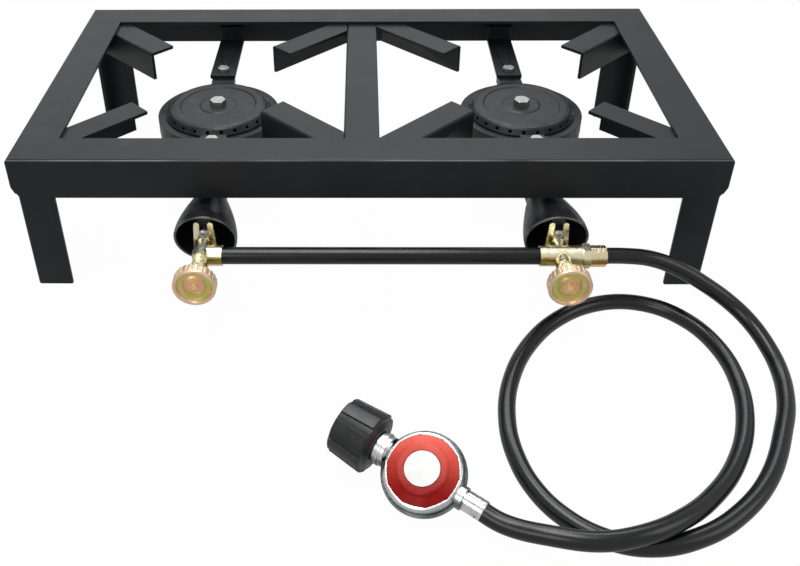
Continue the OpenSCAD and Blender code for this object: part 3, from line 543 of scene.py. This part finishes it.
def moulded(name, colour, rough, grain):
    """Moulded plastic with faint clouds and a fine grain."""
    look = Look(name, colour, rough, edge_mm=0.5)
    lighter = tuple(min(1, c * 1.25) for c in colour)
    look.colour(look.mixed(look.span(look.noise(80, 4), 0, 1), colour, lighter))
    look.roughness(look.span(look.noise(160, 3), rough * 0.85, rough * 1.2))
    look.bump(look.noise(1100, 2), grain, 0.04)
    return look.mat


ZINC_LIT_FROM, ZINC_LIT_TO = 5.5, 7.2    # millimetres above the regulator's middle, at the rolled lip, where painted shade gives way to painted light


def zinc():
    """Die-cast zinc with painted light and shade: light on the rolled lip and above, darker below the
    rim, with clouds and casting marks.
    """
    look = Look("zinc_casting", (0.5, 0.52, 0.53), 0.28, metallic=1.0, edge_mm=0.5)
    axis = REG_TURN @ Vector((0, 0, 1))
    middle = axis.dot(REG_AT * MM)
    high = look.span(look.along(axis), 0, 1, middle + ZINC_LIT_FROM * MM, middle + ZINC_LIT_TO * MM)
    cloud = look.span(look.noise(70, 5), 0, 1, 0.35, 0.7)
    # Painted shade below the rim and painted light on the rolled lip, by height along the regulator's
    # axis
    zinc_shaded = look.mixed(cloud, (0.14, 0.16, 0.17), (0.34, 0.37, 0.38))
    zinc_lit = look.mixed(cloud, (0.62, 0.64, 0.64), (0.84, 0.85, 0.84))
    marks = look.ramp(look.noise(380, 3), [(0.62, 0.0), (0.76, 0.4)])
    look.colour(look.mixed(marks, look.mixed(high, zinc_shaded, zinc_lit), (0.17, 0.18, 0.19)))
    look.roughness(look.span(look.noise(180, 5), 0.18, 0.34))
    look.bump(look.noise(340, 5, 0.6), 0.10, 0.08)
    return look.mat


def lip_paint():
    """Cast lip, shinier than the rest of the casting, with grey patches that are a painted highlight
    along the mouth's edge.
    """
    look = Look("bell_lip", (0.02, 0.022, 0.024), 0.24, specular=0.7)
    painted_highlight_patches = look.span(look.noise(60, 4), 0, 1, 0.4, 0.62)
    # Painted highlight: grey patches along the lip, where its edge would catch the light
    look.colour(look.mixed(painted_highlight_patches, (0.018, 0.020, 0.022), (0.12, 0.125, 0.13)))
    look.bump(look.noise(260, 4), 0.3, 0.15)
    return look.mat


# One for each slot of the record, and one for the bells' lips
LOOKS = {
    "bell_lip": lip_paint(),
    "frame_steel": frame_paint(),
    "burner_iron": cast_paint(),
    "plated_bolt": plated_steel("plated_bolt", (0.50, 0.50, 0.49), 0.32),
    "valve_brass": brass("valve_brass", VALVE_REFLECTION_BANDS, (0.74, 0.60, 0.28), 0.27, 0.5),
    "ferrule_brass": brass("ferrule_brass", FERRULE_REFLECTION_BANDS, (0.80, 0.54, 0.22), 0.18, 0.1),
    "packing_ptfe": moulded("packing_ptfe", (0.78, 0.77, 0.74), 0.5, 0.1),
    "knob_steel": chromate(),
    "manifold_paint": rubber("manifold_paint", (0.003, 0.0037, 0.0042), 0.20, 0.28, 0.40),
    "hose_rubber": rubber("hose_rubber", (0.0028, 0.0032, 0.0038), 0.21, 0.28, 0.5),
    "zinc_casting": zinc(),
    "ferrule_steel": plated_steel("ferrule_steel", (0.86, 0.86, 0.86), 0.16),
    "diaphragm_rubber": rubber("diaphragm_rubber", (0.02, 0.02, 0.021), 0.6, 0.8),
    "spring_steel": plated_steel("spring_steel", (0.45, 0.45, 0.46), 0.3),
    "bonnet_red": red_paint(),
    "disc_white": moulded("disc_white", (0.76, 0.76, 0.75), 0.35, 0.05),
    "nut_plastic": moulded("nut_plastic", (0.008, 0.009, 0.010), 0.34, 0.5),
}

# ---------------------------------------------------------------- details
rng = random.Random(7)
BEAD_STEP, BEAD_PITCH, BEAD_SWAY, BEAD_SIDES = 0.9, 2.4, 0.12, 10


def bead(mesh, start, end, radius):
    """Weld bead between two points in millimetres: overlapping ripples with tapered ends."""
    start, end = Vector(start), Vector(end)
    length = (end - start).length
    count = max(6, round(length / BEAD_STEP))
    pitch = BEAD_PITCH * rng.uniform(0.9, 1.1)
    phase = rng.random()
    path, radii = [], []
    for i in range(count + 1):
        t = i / count
        sway = Vector([rng.uniform(-BEAD_SWAY, BEAD_SWAY) for _ in range(3)])
        path.append(start.lerp(end, t) + sway)
        ripple = 0.84 + 0.16 * abs(math.sin(math.pi * (t * length / pitch + phase)))
        taper = min(1, 0.45 + 1.6 * min(t, 1 - t) * length / (3 * radius))
        radii.append(radius * ripple * taper * rng.uniform(0.95, 1.05))
    sweep(mesh, path, radii, BEAD_SIDES)


def weld_piece(name, beads):
    """One piece of all the beads, each given by its ends and its radius."""
    mesh = bmesh.new()
    for start, end, radius in beads:
        bead(mesh, start, end, radius)
    piece(name, mesh, "frame_steel")


# Faces of the frame and the rails' section, in millimetres
FRONT, BACK, TOP, UNDER = -115, 195, 128, 125
HALF_W, WALL, SKIRT, FLANGE, LEG = 290, 3, 36, 35, 30
HEM = TOP - SKIRT
BRACKET_X = {FRONT: (-137.7, 149.3), BACK: (-144.4, 142.6)}    # middles of the burner brackets
BRACKET_SIDE, BRACKET_TAB = 12.7, 18
BAR_X = (-20, 10)                                              # sides of the centre bar
LEG_BEAD, BRACKET_BEAD, BAR_BEAD = 1.8, 1.6, 1.4
leg_beads = []
for sx in (-1, 1):
    for y, turn in ((FRONT + WALL, 1), (BACK - WALL, -1)):
        x = sx * (HALF_W - WALL)
        for bx, by in ((x - sx * LEG, y), (x, y + turn * LEG)):
            leg_beads.append(((bx, by, HEM + 2), (bx, by, UNDER - 2), LEG_BEAD))
weld_piece("leg_welds", leg_beads)
bracket_beads = []
for end, y in ((FRONT, FRONT + WALL), (BACK, BACK - WALL)):
    for middle in BRACKET_X[end]:
        for bx in (middle - BRACKET_SIDE, middle + BRACKET_SIDE):
            bracket_beads.append(((bx, y, HEM + 1), (bx, y, HEM + BRACKET_TAB - 1), BRACKET_BEAD))
weld_piece("bracket_welds", bracket_beads)
bar_beads = []
for x in BAR_X:
    for start, end in ((FRONT + WALL + 3, FRONT + FLANGE - 1), (BACK - FLANGE + 1, BACK - WALL - 3)):
        bar_beads.append(((x, start, UNDER), (x, end, UNDER), BAR_BEAD))
weld_piece("bar_welds", bar_beads)

# Lip of the regulator's body, rolled over the bonnet and staked at ten corners
STAKES, SIDE_R, LIP_Z = 10, 23.8, 8.4
STAKE_STEPS, STAKE_RISE, STAKE_OUT, STAKE_HALF = 12, 0.25, 0.4, 0.07
CONE_R, CONE_SLOPE = 24.1, 0.5
HALF_SIDE = math.pi / STAKES    # angle from the middle of a side to its corner
crimp = bmesh.new()
crimp_rings = []
for step in range(STAKES * STAKE_STEPS):
    turn = 2 * math.pi * step / (STAKES * STAKE_STEPS)
    off = abs((turn + HALF_SIDE) % (2 * HALF_SIDE) - HALF_SIDE)
    corner = max(0, 1 - abs(off - HALF_SIDE) / STAKE_HALF)
    inner = SIDE_R + STAKE_RISE * (off / HALF_SIDE) ** 2 + STAKE_OUT * corner
    cone = LIP_Z + 0.4 + max(0, CONE_R - inner) * CONE_SLOPE
    section = [(26.2, LIP_Z - 0.25), (26.1, LIP_Z + 0.15), (25.7, LIP_Z + 0.45),
               (inner + 0.9, cone + 0.32), (inner + 0.3, cone + 0.28),
               (inner, cone + 0.05), (inner, cone - 0.5)]
    crimp_rings.append([crimp.verts.new(on_reg(rad * math.cos(turn), rad * math.sin(turn), up) * MM)
                        for rad, up in section])
for low, high in zip(crimp_rings, crimp_rings[1:] + crimp_rings[:1]):
    for k in range(len(low)):
        nxt = (k + 1) % len(low)
        crimp.faces.new((low[k], low[nxt], high[nxt], high[k]))
piece("regulator_crimp", crimp, "zinc_casting")

# Casting fillet between the inlet boss and the regulator's rim
FILLET = {-31.6: 10.9, -30.4: 10.6, -29.2: 9.9, -28.0: 9.0, -27.0: 8.2}    # radius at each x
fillet = bmesh.new()
sweep(fillet, [on_reg(x) for x in FILLET], list(FILLET.values()), 40)
piece("inlet_fillet", fillet, "zinc_casting")

# Lip round the mouth of each burner's bell, on the slant of the mouth, grey in patches as a painted
# highlight
MOUTH_Y, BELL_LEAN = -130, math.radians(13)
LIP_R, LIP_WIRE_R, LIP_STEPS, LIP_SIDES = 25.1, 1.0, 72, 10
for side, x in zip(("left", "right"), KNOB_X):
    lip = bmesh.new()
    ring = []
    for step in range(LIP_STEPS + 1):
        turn = 2 * math.pi * step / LIP_STEPS
        across, up = LIP_R * math.cos(turn), LIP_R * math.sin(turn)
        ring.append(Vector((x + across, MOUTH_Y - up * math.tan(BELL_LEAN), KNOB_Z + up)))
    sweep(lip, ring, LIP_WIRE_R, LIP_SIDES, cap=False)
    piece(side + "_bell_lip", lip, "burner_iron", look="bell_lip")

# ---------------------------------------------------------------- looks on pieces and nodes
for name, look_name in look_of.items():
    bpy.data.objects[name].data.materials.append(LOOKS[look_name])
for part in frame["record"]["subparts"]:
    obj = nodes[part["node"]]
    obj.data.materials.clear()
    obj.data.materials.append(LOOKS[part["material_slot"]])


# The frame's steel has its sharp edges rounded
MERGE, EDGE_R, EDGE_STEPS, EDGE_ANGLE = 0.02, 0.8, 3, 35
for name, obj in nodes.items():
    if name.endswith(("_rail", "_leg", "_bracket")) or "_finger_" in name or name == "centre_bar":
        obj.modifiers.new("join", "WELD").merge_threshold = MERGE * MM
        bevel = obj.modifiers.new("edges", "BEVEL")
        bevel.width = EDGE_R * MM
        bevel.segments = EDGE_STEPS
        bevel.limit_method = "ANGLE"
        bevel.angle_limit = math.radians(EDGE_ANGLE)

bpy.context.scene.view_settings.view_transform = "Standard"
